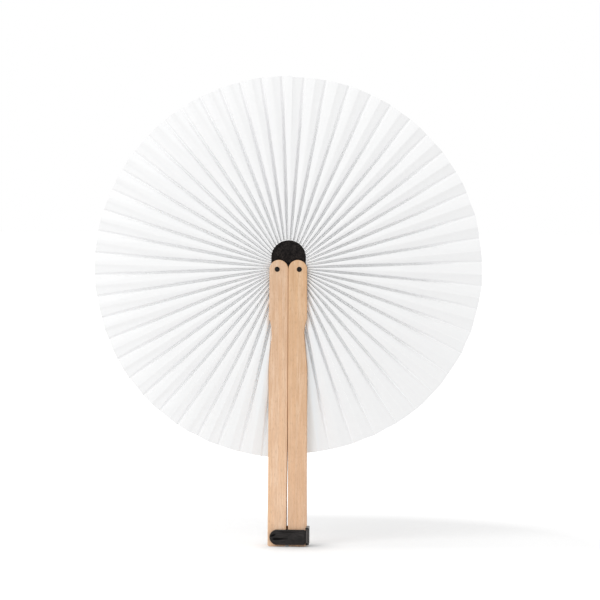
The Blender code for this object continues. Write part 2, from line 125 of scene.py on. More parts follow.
# By share of the way round from the top, how far fold lines pass from the leaf's centre, as a share of
# how far out the pins are
FOLD_OFFSET_SHARES = ((0, 0), (0.25, -0.13), (0.5, -0.05), (0.67, 0.2), (0.83, 0.36), (1, 0.48))
# By share of the way round, reach of the rim on the left and on the right
RIM_SHARES = {
    -1: ((0, 0.991), (0.25, 0.999), (0.5, 1.013), (0.61, 1.0126), (0.72, 1.0118), (0.83, 1.003), (1, 0.994)),
    1: ((0, 0.986), (0.25, 0.995), (0.5, 1.0065), (0.62, 1.005), (0.75, 0.9945), (0.89, 0.9775), (1, 0.972)),
}
RADIAL_POWER = 1.3  # how much closer the rows of the mesh lie near the hub
ROWS = 22
LAST_BEND = 5  # a panel's cross-section bends at 0, its front fold, up to this one, its back fold
# Where the sheet's mesh has a column in each panel: whole numbers are those bends
COLUMN_MARKS = (0, 0.33, 0.66, 1, 1.5, 2, 2.33, 2.66, 3, 3.5, 4, 4.5)
START_STEPS = 8  # places in each panel where the sheet's inner end is looked for

# Cross-section of a panel, by its spread as a share of its width unless said otherwise
WIDEST_SPREAD = 0.97
SPREAD_DIGITS = 3  # spreads are rounded to these, so that few cross-sections are worked out
# Share of the way across that lies flat at the front
FRONT_SHARES = ((0.1, 0.4), (0.22, 0.48), (0.41, 0.66), (0.6, 0.8), (0.78, 0.89), (1, 0.95))
# Slope of that flat part in degrees, by share of the way round
FRONT_SLOPES = ((0, 14), (0.45, 14), (0.75, 8), (1, 8))
SLOPE_STEPS = 4  # slopes are rounded to this many steps in a degree
# Steepest slope that is allowed behind it
STEEPEST = ((0.5, math.radians(89)), (0.7, math.radians(66)), (0.85, math.radians(38)), (1, math.radians(20)))
FRONT_CURLS = ((0.2, 0.5), (0.6, 0.22), (0.9, 0.06))  # share of the flat part that is curved at its fold
KNEE_CURLS = ((0.2, 0.13), (0.5, 0.055), (0.9, 0.04))  # and to each side of its other end
BACK_CURL = 0.04  # share of the panel that is curved at the back fold
SECTION_STEPS = 160
PINCH = 0.32  # how much shallower the pleats are where they start
PINCH_SHARE = 0.12  # share of their length after which they have their full depth
PANEL_BOW = 0.00022  # most that a panel bows out of its plane
LEAST_BOW = 0.3  # least, as a share of that
# Noise that makes the bow uneven: its scale along a panel, and its steps to the next panel and half
BOW_GRAIN = 40
BOW_PANEL = 1.7
BOW_SIDE = 3
FOLD_WANDER = math.radians(0.16)  # most that a fold line strays from its turn
RIM_WANDER = 0.00035  # most that a fold's end strays from the rim
STRAIGHT_FOLDS = 4  # beside the stick, which don't stray

# Share of the light that goes through the sheet
FRONT_THROUGH = 0.03  # on the pressed fronts of the pleats
BACK_THROUGH = 0.26  # between them
HUB_THROUGH = 0.6  # between them close to the hub
HUB_REACH = 0.04  # distance from the middle between the pins at which that has faded out
LEFT_PAINTED_LIGHT = 0.1  # on top of either, on the left half: painted light that makes that half's valleys show lighter
LEFT_REACH = 0.03  # distance from the middle of the fan at which that is whole
FRONT_FROM = 0.8  # where a front begins and is whole: 0 is a back fold and 1 a front fold
FRONT_WHOLE = 0.95

# Painted shade: a cool tint on the sheet beside the sticks, below their notch, stands in for their shade and
# hides the warm light that the wood throws on it
PAINTED_SHADE_OUT = 0.022  # how far out the sheet gets a painted cool shade along the sticks
PAINTED_SHADE_SHARE = 0.7
PAINTED_SHADE_COLOUR = (0.855, 0.93, 0.975)
SEARCH_STEPS = 400
SEARCH_HALVINGS = 20

# Clip, as in the frame, but with a round knob on its wire and finer recesses
CLIP_THICKNESS = 0.0026
CLIP_HEIGHT = 0.0098
CLIP_FOOT = 0.0013  # lower end above the ground
CLIP_REACH = 0.0113  # from the middle of the handle to the rounded end
CLIP_EAR = 0.0009
CLIP_WALL = 0.0013
CLIP_ROUNDING = 0.0005
CLIP_ARM_CORNER = 0.0016
HINGE_RADIUS = 0.00115
HINGE_PIN_RADIUS = 0.00035
HINGE_PIN_PROUD = 0.0004
WIRE_TIP = ((1, 0.6), (0.7, 0.18))  # rounded lower end: radius and height, as shares of the wire's radius
KNOB_RADIUS = 0.00075
KNOB_HEIGHT = 0.0013
KNOB_SEAT = 0.00001  # underside of the knob above the ear
PAINTED_HIGHLIGHT_WIDTH = 0.00055  # half the width of the painted highlight line along the hinge
PAINTED_HIGHLIGHT_CORE = 0.3  # share of it that is evenly bright
# Recesses in the tongue: start, end, width and lean
RECESSES = (
    ((-0.0093, 0.00505), (0.0018, 0.0053), 0.0013, 0.45),
    ((-0.0108, 0.00665), (-0.0071, 0.0083), 0.00125, 1),
    ((-0.0066, 0.0098), (0.0065, 0.00955), 0.0005, 1),
)
RECESS_POWER = 1.5  # how much closer a recess's points lie at its start
RECESS_DEPTH = 0.0006
RECESS_ROUNDING = 0.00012

# Camera: what it looks at, the width that it shows there, how far off it is and from which side
VIEW_CENTRE = Vector((0.00752, 0, 0.16))
VIEW_WIDTH = 0.3898
VIEW_DISTANCE = 2.2
VIEW_AZIMUTH = math.radians(2)
VIEW_ELEVATION = math.radians(1.5)
VIEW_ROLL = math.radians(0.28)
SENSOR = 0.036

# Light, as the level that it gives to a white face
WORLD_LEVEL = 0.83
KEY_LEVEL = 0.25
KEY_SIDE = (-0.5, -0.65, 0.5)  # from the fan towards the lamp
KEY_DISTANCE = 1.7
KEY_SIZE = 0.8

FLOOR_SIZE = 30
# What the floor shows on top of the light that it gets, so that it is white: up to this distance from
# the middle this level, growing to 1 at the far distance
FLOOR_NEAR = 0.2
FLOOR_NEAR_LEVEL = 0.205
FLOOR_FAR = 0.45
# Painted light: more of it round the foot, which lightens the fan's shadow there: axis, from where to where,
# and how much
FLOOR_PAINTED_LIGHT = (("X", -0.006, -0.022, 0.07), ("X", 0.07, 0.16, 0.045), ("Y", 0.004, -0.03, 0.055))
# Painted shadow: less of it under the foot, which darkens the floor there on top of the fan's own contact
# shadow: middle, reach and how much
FOOT_PAINTED_SHADOW = (0.008, -0.009, 0)
FOOT_PAINTED_SHADOW_SIZE = (0.036, 0.04, 1)
FOOT_PAINTED_SHADOW_LEVEL = 0.16

# Worked out from these
TOP_INNER = STICK_GAP / 2
TOP_OUTER = TOP_INNER + STICK_WIDTH
TOP_RADIUS = STICK_WIDTH / 2
TOP_CENTRE = TOP_INNER + TOP_RADIUS
SLOT_WIDTH = HUB_THICKNESS + 2 * CLEARANCE
SLOT_DEPTH = HUB_RISE + HUB_RADIUS + FORK_RUN
DOME_HEIGHT = PIN_HEIGHT + HUB_RISE
LEAF_CENTRE = PIN_HEIGHT + LEAF_RISE
FRONT = -STICK_DEPTH / 2
CLIP_BACK = FRONT - CLEARANCE
CLIP_MIDDLE = CLIP_BACK - CLIP_THICKNESS / 2
CLIP_TOP = CLIP_FOOT + CLIP_HEIGHT
CLIP_CENTRE = CLIP_FOOT + CLIP_HEIGHT / 2
EAR_TOP = CLIP_TOP + CLEARANCE + CLIP_EAR
WALL_IN = TOP_OUTER + STICK_FLARE + CLEARANCE
WALL_OUT = WALL_IN + CLIP_WALL
HINGE_OUT = WALL_OUT - HINGE_RADIUS

random.seed(27)


# Materials
# A ramp's stops are pairs of place and colour or grey, and a noise's grain is in metres along each axis.

def new_material(name, roughness, metallic=0.0):
    """A material and its shader."""
    made = bpy.data.materials.new(name)
    made.use_nodes = True
    shader = made.node_tree.nodes["Principled BSDF"]
    shader.inputs["Roughness"].default_value = roughness
    shader.inputs["Metallic"].default_value = metallic
    return made, shader


def add(made, kind, links=None, **values):
    """Adds a node to a material or world.

    Values are settings or sockets, and links are sockets to feed from other nodes.
    """
    node = made.node_tree.nodes.new("ShaderNode" + kind)
    for key, value in values.items():
        if hasattr(node, key):
            setattr(node, key, value)
        else:
            node.inputs[key.replace("_", " ")].default_value = value
    for key, source in (links or {}).items():
        made.node_tree.links.new(source, node.inputs[key])
    return node


def ramp(made, source, stops, smooth=False):
    """A colour ramp over a value, from pairs of place and colour or grey."""
    node = add(made, "ValToRGB", {"Fac": source})
    if smooth:
        node.color_ramp.interpolation = "EASE"
    marks = node.color_ramp.elements
    while len(marks) < len(stops):
        marks.new(0.5)
    for mark, (place, colour) in zip(marks, stops):
        mark.position = place
        mark.color = (*colour, 1) if isinstance(colour, tuple) else (colour, colour, colour, 1)
    return node.outputs["Color"]


def stretched_noise(made, grain, detail=4, roughness=0.55, distortion=0.0):
    """Noise in the piece's own place, with a grain of this size along each axis."""
    place = add(made, "TexCoord").outputs["Object"]
    scaled = add(made, "Mapping", {"Vector": place}, vector_type="POINT")
    scaled.inputs["Scale"].default_value = [1 / size for size in grain]
    node = add(made, "TexNoise", {"Vector": scaled.outputs["Vector"]})
    node.inputs["Scale"].default_value = 1
    node.inputs["Detail"].default_value = detail
    node.inputs["Roughness"].default_value = roughness
    node.inputs["Distortion"].default_value = distortion
    return node.outputs["Fac"]


def mixed(made, share, low, high, blend="MIX"):
    """One colour over another by a share, which is a socket or a number."""
    node = add(made, "Mix", data_type="RGBA", blend_type=blend)
    for socket, value in ((node.inputs[0], share), (node.inputs[6], low), (node.inputs[7], high)):
        if isinstance(value, bpy.types.NodeSocket):
            made.node_tree.links.new(value, socket)
        elif isinstance(value, tuple):
            socket.default_value = (*value, 1)
        else:
            socket.default_value = value
    return node.outputs[2]


def maths(made, operation, first, second=0.0, clamp=False):
    """A sum, product or other operation on two sockets or numbers."""
    node = add(made, "Math", operation=operation, use_clamp=clamp)
    for socket, value in zip(node.inputs, (first, second)):
        if isinstance(value, bpy.types.NodeSocket):
            made.node_tree.links.new(value, socket)
        else:
            socket.default_value = value
    return node.outputs[0]


def bumped(made, shader, layers):
    """Feeds the shader's normal from pairs of height and depth in metres, one on another."""
    normal = None
    for height, depth in layers:
        node = add(made, "Bump", {"Height": height}, Strength=1.0, Distance=depth)
        if normal:
            made.node_tree.links.new(normal, node.inputs["Normal"])
        normal = node.outputs["Normal"]
    made.node_tree.links.new(normal, shader.inputs["Normal"])


def feed(made, shader, **sockets):
    """Links sockets of other nodes to the shader's."""
    for key, source in sockets.items():
        made.node_tree.links.new(source, shader.inputs[key.replace("_", " ")])


def sideways(made):
    """How far the surface faces away from front and back, from 0 to 1."""
    normal = add(made, "TexCoord").outputs["Normal"]
    parts = add(made, "SeparateXYZ", {"Vector": normal})
    return maths(made, "SUBTRACT", 1.0, maths(made, "ABSOLUTE", parts.outputs["Y"]), clamp=True)


def remapped(made, source, low, high, to_low, to_high):
    """A value taken evenly from one range to another."""
    node = add(made, "MapRange", {"Value": source})
    for socket, value in zip(("From Min", "From Max", "To Min", "To Max"), (low, high, to_low, to_high)):
        node.inputs[socket].default_value = value
    return node.outputs["Result"]


def along(made, axis):
    """Place in the piece's own space along one axis."""
    place = add(made, "TexCoord").outputs["Object"]
    return add(made, "SeparateXYZ", {"Vector": place}).outputs[axis]


def spot(made, centre, radii):
    """A soft oval spot in the piece's own place, 1 in its middle and 0 from its radii outwards."""
    place = add(made, "TexCoord").outputs["Object"]
    moved = add(made, "VectorMath", {0: place}, operation="SUBTRACT")
    moved.inputs[1].default_value = centre
    scaled = add(made, "VectorMath", {0: moved.outputs[0]}, operation="DIVIDE")
    scaled.inputs[1].default_value = radii
    length = add(made, "VectorMath", {0: scaled.outputs[0]}, operation="LENGTH")
    return ramp(made, length.outputs["Value"], ((0.0, 1.0), (1.0, 0.0)), smooth=True)


def seen_itself(made):
    """1 where the camera sees this surface, also in a reflection or through glass, and 0 for its light."""
    rays = add(made, "LightPath").outputs
    seen = maths(made, "MAXIMUM", rays["Is Camera Ray"], rays["Is Glossy Ray"])
    return maths(made, "MAXIMUM", seen, rays["Is Transmission Ray"])


def tinted(colour, weights):
    """A colour with each of its parts times a weight, up to full."""
    return tuple(min(1, part * weight) for part, weight in zip(colour, weights))


def wood_material(name, pale, top, shift, fleck=None):
    """Pale close-grained wood with its grain along Z, warmer on its edges.

    At its top it is darker by the weights in top. A shift changes its grain a little, and a fleck is
    the place of a darker spot.
    """
    made, shader = new_material(name, 0.55)
    deep = tinted(pale, (0.87, 0.79, 0.71))
    band = tinted(pale, (1.0, 0.91, 0.8))
    bright = tinted(pale, (1.06, 1.1, 1.15))
    pore = tinted(deep, (0.82, 0.82, 0.82))
    edge = tinted(band, (0.9, 0.8, 0.68))
    fibre = stretched_noise(made, (0.0006, 0.0008, 0.016), 6, 0.66, 0.2 + shift)
    bands = stretched_noise(made, (0.0028 + shift / 1000, 0.005, 0.11), 3, 0.5, 0.6)
    cloud = stretched_noise(made, (0.005, 0.007, 0.016), 3, 0.55)
    pores = stretched_noise(made, (0.0004, 0.0005, 0.003), 3, 0.6)
    ground = ramp(made, fibre, ((0.4, deep), (0.52, pale), (0.62, bright)))
    banded = mixed(made, ramp(made, bands, ((0.42, 0.0), (0.64, 0.75))), ground, band)
    clouded = mixed(made, ramp(made, cloud, ((0.4, 0.5), (0.58, 0.0))), banded, deep)
    colour = mixed(made, ramp(made, pores, ((0.32, 0.75), (0.45, 0.0))), clouded, pore)
    if fleck:
        mark = spot(made, fleck, FLECK_SIZE)
        colour = mixed(made, maths(made, "MULTIPLY", mark, FLECK_SHARE), colour, FLECK_COLOUR)
    height = remapped(made, along(made, "Z"), *STICK_DARKENS, 0, 1)
    shade = ramp(made, height, ((0.0, (1.0, 1.0, 1.0)), (1.0, top)))
    colour = mixed(made, 1.0, colour, shade, "MULTIPLY")
    side = ramp(made, sideways(made), ((0.02, 0.0), (0.3, 0.6), (0.7, 0.3), (1.0, 0.0)))
    colour = mixed(made, side, colour, edge)
    feed(made, shader, Base_Color=colour, Roughness=ramp(made, fibre, ((0.3, 0.66), (0.7, 0.5))))
    bumped(made, shader, ((fibre, 0.00005), (pores, 0.00003)))
    shader.inputs["Specular IOR Level"].default_value = 0.35
    return made


def leaf_material():
    """White sheet: fine fibres, a little mottling, folds rubbed brighter, and a painted cool shade by the
    sticks.

    It lets light through, most between the fronts of its pleats and close to the hub, and more on its left
    half, which is painted light.
    """
    made, shader = new_material("white_pleated_sheet", 0.78)
    fibre = stretched_noise(made, (0.0004, 0.0004, 0.0004), 5, 0.7, 0.4)
    mottle = stretched_noise(made, (0.006, 0.006, 0.006), 3, 0.5)
    fold = add(made, "Attribute", attribute_name="fold").outputs["Fac"]
    ground = ramp(made, mottle, ((0.3, (0.942, 0.944, 0.948)), (0.7, (0.953, 0.955, 0.957))))
    fine = mixed(made, ramp(made, fibre, ((0.35, 0.35), (0.6, 0.0))), ground, (0.927, 0.928, 0.93))
    colour = mixed(made, maths(made, "MULTIPLY", fold, 0.5), fine, (0.965, 0.965, 0.963))
    # Painted shade: a cool tint beside the sticks, below their notch
    beside = remapped(made, maths(made, "ABSOLUTE", along(made, "X")), STICK_WIDTH, PAINTED_SHADE_OUT, 1, 0)
    below = remapped(made, along(made, "Z"), NOTCH_TOP - NOTCH_LENGTH, NOTCH_TOP, 1, 0)
    painted_shade = maths(made, "MULTIPLY", maths(made, "MULTIPLY", beside, below), PAINTED_SHADE_SHARE)
    colour = mixed(made, painted_shade, colour, PAINTED_SHADE_COLOUR)
    feed(made, shader, Base_Color=colour, Roughness=ramp(made, fibre, ((0.3, 0.86), (0.7, 0.72))))
    bumped(made, shader, ((fibre, 0.000014), (mottle, 0.00006)))
    shader.inputs["Specular IOR Level"].default_value = 0.25
    shader.inputs["Sheen Weight"].default_value = 0.08
    shader.inputs["Sheen Roughness"].default_value = 0.5
    through = add(made, "BsdfTranslucent", {"Color": colour})
    front = add(made, "Attribute", attribute_name="front").outputs["Fac"]
    near = add(made, "Attribute", attribute_name="near_hub").outputs["Fac"]
    walls = remapped(made, near, 0, 1, BACK_THROUGH, HUB_THROUGH)
    # Painted light: more light goes through on the left half, so its valleys show lighter
    walls = maths(made, "ADD", walls, remapped(made, along(made, "X"), 0, -LEFT_REACH, 0, LEFT_PAINTED_LIGHT))
    share = mixed(made, remapped(made, front, FRONT_FROM, FRONT_WHOLE, 0, 1), walls, (FRONT_THROUGH,) * 3)
    both = add(made, "MixShader", {"Fac": share})
    made.node_tree.links.new(shader.outputs[0], both.inputs[1])
    made.node_tree.links.new(through.outputs[0], both.inputs[2])
    made.node_tree.links.new(both.outputs[0], made.node_tree.nodes["Material Output"].inputs["Surface"])
    return made


def hub_material():
    """Black plastic with an even fine grain, and a painted highlight that makes it a little paler on its
    edges.
    """
    made, shader = new_material("black_grained_plastic", 0.68)
    grain = stretched_noise(made, (0.0008, 0.0008, 0.0008), 4, 0.65)
    coarse = stretched_noise(made, (0.0016, 0.0016, 0.0016), 4, 0.65, 0.5)
    ground = ramp(made, coarse, ((0.4, (0.002, 0.0015, 0.0015)), (0.6, (0.012, 0.0095, 0.009))))
    speck = ramp(made, grain, ((0.5, 0.0), (0.62, 0.8)))
    colour = mixed(made, speck, ground, (0.032, 0.026, 0.023))
    # Painted highlight: faces that turn sideways are paler; this is not wear
    rubbed = ramp(made, sideways(made), ((0.1, 0.0), (0.5, 0.8)))
    colour = mixed(made, rubbed, colour, (0.045, 0.034, 0.032))
    feed(made, shader, Base_Color=colour, Roughness=ramp(made, grain, ((0.3, 0.8), (0.7, 0.55))))
    bumped(made, shader, ((grain, 0.00009), (coarse, 0.00012)))
    shader.inputs["Specular IOR Level"].default_value = 0.11
    return made


def clip_material(name, ground, bright, roughness, shine, painted_highlight_at=None):
    """Moulded dark plastic with a soft gloss and fine scuffs along it, a painted highlight on its edges, and
    a painted highlight line at a place along X.
    """
    made, shader = new_material(name, roughness)
    scuff = stretched_noise(made, (0.006, 0.0004, 0.0006), 4, 0.6, 0.3)
    grain = stretched_noise(made, (0.0005, 0.0005, 0.0005), 3, 0.6)
    cloud = stretched_noise(made, (0.004, 0.004, 0.003), 2, 0.5)
    colour = ramp(made, cloud, ((0.3, ground), (0.7, bright)))
    scuffed = ramp(made, scuff, ((0.5, 0.0), (0.66, 0.6)))
    colour = mixed(made, scuffed, colour, tinted(bright, (2.4, 2.4, 2.4)))
    # Painted highlight: faces that turn sideways are paler
    edge = ramp(made, sideways(made), ((0.1, 0.0), (0.5, 0.35)))
    colour = mixed(made, edge, colour, tinted(bright, (1.7, 1.7, 1.7)))
    # Painted highlight: a pale line down the hinge's knuckle at this place along X; it is not wear
    if painted_highlight_at is not None:
        off = maths(made, "ABSOLUTE", maths(made, "SUBTRACT", along(made, "X"), painted_highlight_at))
        worn = remapped(made, off, PAINTED_HIGHLIGHT_WIDTH * PAINTED_HIGHLIGHT_CORE, PAINTED_HIGHLIGHT_WIDTH, 0.9, 0)
        colour = mixed(made, worn, colour, (0.13, 0.12, 0.115))
    rough = ramp(made, scuff, ((0.35, roughness), (0.7, roughness + 0.2)))
    feed(made, shader, Base_Color=colour, Roughness=rough)
    bumped(made, shader, ((grain, 0.00003), (cloud, 0.0002)))
    shader.inputs["Specular IOR Level"].default_value = shine
    return made


def metal_material(name, dark, light, roughness):
    """Metal with patches of tarnish and fine brushing."""
    made, shader = new_material(name, roughness, 1.0)
    brushed = stretched_noise(made, (0.00025, 0.0016, 0.00025), 4, 0.6)
    tarnish = stretched_noise(made, (0.0009, 0.0009, 0.0009), 4, 0.6, 0.4)
    colour = ramp(made, tarnish, ((0.35, dark), (0.7, light)))
    rough = ramp(made, brushed, ((0.3, roughness), (0.7, roughness + 0.22)))
    feed(made, shader, Base_Color=colour, Roughness=rough)
    bumped(made, shader, ((brushed, 0.00002), (tarnish, 0.00003)))
    return made


WOOD_LEFT = wood_material("pale_wood_left", pale=(0.92, 0.65, 0.455), top=(0.835, 0.82, 0.8), shift=0.0)
WOOD_RIGHT = wood_material(
    "pale_wood_right", pale=(0.83, 0.572, 0.393), top=(0.92, 0.905, 0.83), shift=0.3, fleck=FLECK_PLACE
)
LEAF_SHEET = leaf_material()
HUB_PLASTIC = hub_material()
TONGUE_PLASTIC = clip_material(
    "charcoal_tongue",
    ground=(0.008, 0.0066, 0.0062),
    bright=(0.022, 0.0195, 0.019),
    roughness=0.36,
    shine=0.2,
    painted_highlight_at=HINGE_OUT,
)
# Painted shade: the recesses get a darker, duller copy of the tongue's plastic
RECESS_PAINTED_SHADE = clip_material(
    "painted_shade_recess",
    ground=(0.0015, 0.0012, 0.0011),
    bright=(0.003, 0.0025, 0.0023),
    roughness=0.6,
    shine=0.08,
)
CLIP_PLASTIC = clip_material(
    "black_bracket", ground=(0.004, 0.0036, 0.0035), bright=(0.009, 0.0082, 0.008), roughness=0.3, shine=0.2
)
PIN_METAL = metal_material(
    "dark_pin_metal", dark=(0.008, 0.0075, 0.007), light=(0.03, 0.028, 0.026), roughness=0.36
)
WIRE_METAL = metal_material(
    "hinge_wire_steel", dark=(0.14, 0.13, 0.12), light=(0.4, 0.37, 0.35), roughness=0.24
)


# Rigid shapes

def smooth_shares(table, share):
    """Value of a table of shares on a smooth curve through its entries."""
    places = [place for place, _ in table]
    values = [value for _, value in table]
    if share <= places[0]:
        return values[0]
    if share >= places[-1]:
        return values[-1]
    last = len(table) - 1
    i = max(n for n in range(last) if places[n] <= share)

    def slope(n):
        if n == 0 or n == last:
            return 0
        return (values[n + 1] - values[n - 1]) / (places[n + 1] - places[n - 1])

    width = places[i + 1] - places[i]
    t = (share - places[i]) / width
    return (
        values[i] * (2 * t**3 - 3 * t**2 + 1)
        + slope(i) * width * (t**3 - 2 * t**2 + t)
        + values[i + 1] * (3 * t**2 - 2 * t**3)
        + slope(i + 1) * width * (t**3 - t**2)
    )


def outer_edge(height):
    """Distance of a stick's outer edge from the middle of the handle at this height."""
    flare = STICK_FLARE * (1 - height / PIN_HEIGHT)
    notch = NOTCH_DEPTH * smooth_shares(NOTCH_SHARES, (NOTCH_TOP - height) / NOTCH_LENGTH)
    return TOP_OUTER + flare - notch


def inner_edge(height):
    """Distance of a stick's inner edge from the middle of the handle at this height."""
    t = min(max((SLIT_TOP - height) / SLIT_LENGTH, 0), 1)
    return TOP_INNER + (FOOT_GAP - STICK_GAP) / 2 * t**SLIT_POWER


def arc(centre, radius, start, end, steps):
    """Points on an arc, from one angle in degrees to another."""
    points = []
    for i in range(steps + 1):
        angle = math.radians(start + (end - start) * i / steps)
        points.append((centre[0] + radius * math.cos(angle), centre[1] + radius * math.sin(angle)))
    return points


def new_object(name, bm, look=None):
    """An object from a bmesh, with its material."""
    bmesh.ops.recalc_face_normals(bm, faces=bm.faces)
    mesh = bpy.data.meshes.new(name)
    bm.to_mesh(mesh)
    bm.free()
    obj = bpy.data.objects.new(name, mesh)
    bpy.context.scene.collection.objects.link(obj)
    if look:
        obj.data.materials.append(look)
    return obj


def plate(name, outline, low, high, look=None, upright=True):
    """A flat piece cut to an outline, from low to high: in Y if it is upright, or else in Z."""
    bm = bmesh.new()
    ring = [bm.verts.new((x, low, z) if upright else (x, z, low)) for x, z in outline]
    drawn = bmesh.ops.extrude_face_region(bm, geom=[bm.faces.new(ring)])
    for vert in drawn["geom"]:
        if isinstance(vert, bmesh.types.BMVert):
            vert.co["xyz".index("y" if upright else "z")] = high
    return new_object(name, bm, look)


def turned(name, profile, centre, steps, axis="Y", look=None):
    """A profile of radii and heights, from axis to axis, turned about a line through the centre."""
    bm = bmesh.new()
    ring = [bm.verts.new((radius, 0, height)) for radius, height in profile]
    for a, b in zip(ring, ring[1:]):
        bm.edges.new((a, b))
    geometry = bm.verts[:] + bm.edges[:]
    bmesh.ops.spin(bm, geom=geometry, cent=(0, 0, 0), axis=(0, 0, 1), angle=2 * math.pi, steps=steps)
    bmesh.ops.remove_doubles(bm, verts=bm.verts, dist=SAME_PLACE)
    if axis == "Y":
        bmesh.ops.rotate(bm, verts=bm.verts, cent=(0, 0, 0), matrix=Matrix.Rotation(math.pi / 2, 3, "X"))
    bmesh.ops.translate(bm, verts=bm.verts, vec=centre)
    return new_object(name, bm, look)


def rounded(obj, width, segments=4, angle=50):
    """Rounds the edges that turn by more than an angle in degrees."""
    bevel = obj.modifiers.new("rounding", "BEVEL")
    bevel.width = width
    bevel.segments = segments
    bevel.limit_method = "ANGLE"
    bevel.angle_limit = math.radians(angle)
    bevel.use_clamp_overlap = True


def combine(obj, tool, operation="DIFFERENCE"):
    """Cuts an object with a tool, or joins the tool to it."""
    step = obj.modifiers.new(tool.name, "BOOLEAN")
    step.operation = operation
    step.solver = "EXACT"
    step.object = tool
    return step


def settled(obj, tools=(), sharp=35):
    """Fixes an object's modifiers in its mesh, removes the tools and shades it smooth.

    Edges that turn by more than an angle in degrees stay sharp.
    """
    bpy.context.view_layer.update()
    mesh = bpy.data.meshes.new_from_object(obj.evaluated_get(bpy.context.evaluated_depsgraph_get()))
    obj.modifiers.clear()
    obj.data = mesh
    mesh.name = obj.name
    for tool in tools:
        bpy.data.objects.remove(tool, do_unlink=True)
    mesh.shade_smooth()
    mesh.set_sharp_from_angle(angle=math.radians(sharp))
    even = obj.modifiers.new("even_faces", "WEIGHTED_NORMAL")
    even.keep_sharp = True
    return obj


def seat(obj, body, finish, *nodes):
    """Puts a piece on its body, in place of its nodes, and hides those nodes. Its finish is not used."""
    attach(obj, body)
    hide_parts(*nodes)


def stick_outline(side):
    """Outline of one stick: round end, inner edge, foot, and outer edge with its notch."""
    foot_in = inner_edge(0)
    foot_out = outer_edge(0)
    points = arc((TOP_CENTRE, PIN_HEIGHT), TOP_RADIUS, 0, 180, ROUND_END_STEPS)
    for i in range(SLIT_STEPS + 1):
        height = SLIT_TOP - SLIT_LENGTH * i / SLIT_STEPS
        points.append((inner_edge(height), height))
    points += arc((foot_in + FOOT_CORNER, FOOT_CORNER), FOOT_CORNER, 180, 270, CORNER_STEPS)
    points += arc((foot_out - FOOT_CORNER, FOOT_CORNER), FOOT_CORNER, 270, 360, CORNER_STEPS)
    for i in range(NOTCH_STEPS, -1, -1):
        height = NOTCH_TOP - NOTCH_LENGTH * i / NOTCH_STEPS
        points.append((outer_edge(height), height))
    return [(side * x, z) for x, z in points]


def make_stick(name, side, look, body, finish, node):
    """A wooden stick with softly rounded edges, forked at its round end for the hub."""
    stick = plate(name, stick_outline(side), -STICK_DEPTH / 2, STICK_DEPTH / 2, look)
    rounded(stick, STICK_ROUNDING)
    near = side * (PIN_OUT - STICK_WIDTH)
    far = side * (PIN_OUT + STICK_WIDTH)
    low = PIN_HEIGHT - SLOT_DEPTH
    high = PIN_HEIGHT + TOP_RADIUS + OVERRUN
    slot = [(near, low), (far, low), (far, high), (near, high)]
    fork = plate(name + "_fork", slot, -SLOT_WIDTH / 2, SLOT_WIDTH / 2)
    bore_end = STICK_DEPTH / 2 + OVERRUN
    ring = arc((side * PIN_OUT, PIN_HEIGHT), PIN_RADIUS + CLEARANCE, 0, 360, RING_STEPS)[:-1]
    bore = plate(name + "_bore", ring, -bore_end, bore_end)
    combine(stick, fork)
    combine(stick, bore)
    settled(stick, (fork, bore))
    seat(stick, body, finish, node)


def hub_outline(inset):
    """Outline of the hub, or one set in from it: a dome over straight sides, with rounded lower corners."""
    radius = HUB_RADIUS - inset
    corner = HUB_CORNER - inset
    foot = PIN_HEIGHT - HUB_SKIRT + inset
    points = arc((0, DOME_HEIGHT), radius, 0, 180, DOME_STEPS)
    points += arc((corner - radius, foot + corner), corner, 180, 270, CORNER_STEPS)
    points += arc((radius - corner, foot + corner), corner, 270, 360, CORNER_STEPS)
    return points


def make_hub():
    """The black hub, with a rim round each face."""
    half = HUB_THICKNESS / 2
    hub = plate("hub_shell", hub_outline(0), -half, half, HUB_PLASTIC)
    rounded(hub, HUB_ROUNDING)
    tools = []
    for face in (-half, half):
        recess = plate("hub_recess", hub_outline(HUB_RIM), face - HUB_RECESS, face + HUB_RECESS)
        combine(hub, recess)
        tools.append(recess)
    settled(hub, tools, sharp=50)
    seat(hub, "hub_and_pins", "hub", "hub")


def make_pin(name, side, node):
    """A riveted pin: a low round head with a worn flat on each face, and its shank."""
    head_seat = STICK_DEPTH / 2 + CLEARANCE / 3
    crown = [(0, head_seat + PIN_HEAD_HEIGHT)]
    for i in range(1, HEAD_STEPS + 1):
        angle = math.radians(PIN_HEAD_FLAT + (90 - PIN_HEAD_FLAT) * i / HEAD_STEPS)
        crown.append((PIN_HEAD_RADIUS * math.sin(angle), head_seat + PIN_HEAD_HEIGHT * math.cos(angle)))
    half = crown + [(PIN_HEAD_RADIUS, head_seat), (PIN_RADIUS, head_seat), (PIN_RADIUS, 0)]
    profile = half + [(radius, -height) for radius, height in reversed(half[:-1])]
    pin = turned(name, profile, (side * PIN_OUT, 0, PIN_HEIGHT), PIN_STEPS, look=PIN_METAL)
    settled(pin, sharp=40)
    seat(pin, "hub_and_pins", "pins", node)


# Leaf

def fold_turn(half, step):
    """Turn of a fold line from upright. Even steps are front folds and odd steps are back folds."""
    t = step / (2 * half["pleats"] - 1)
    return half["start"] + FOLD_SWEEP * t * (1 + FOLD_SPREAD_SHARE * (t - 1))


def fold_end(side, turn):
    """Reach of a fold line at the rim."""
    return LEAF_RADIUS * smooth_shares(RIM_SHARES[side], turn / math.pi)


def fold_point(turn, reach):
    """Point on a fold line: how far out from the middle of the fan, and how high."""
    offset = PIN_OUT * smooth_shares(FOLD_OFFSET_SHARES, turn / math.pi)
    out = reach * math.sin(turn) - offset * math.cos(turn)
    height = LEAF_CENTRE + reach * math.cos(turn) + offset * math.sin(turn)
    return out, height


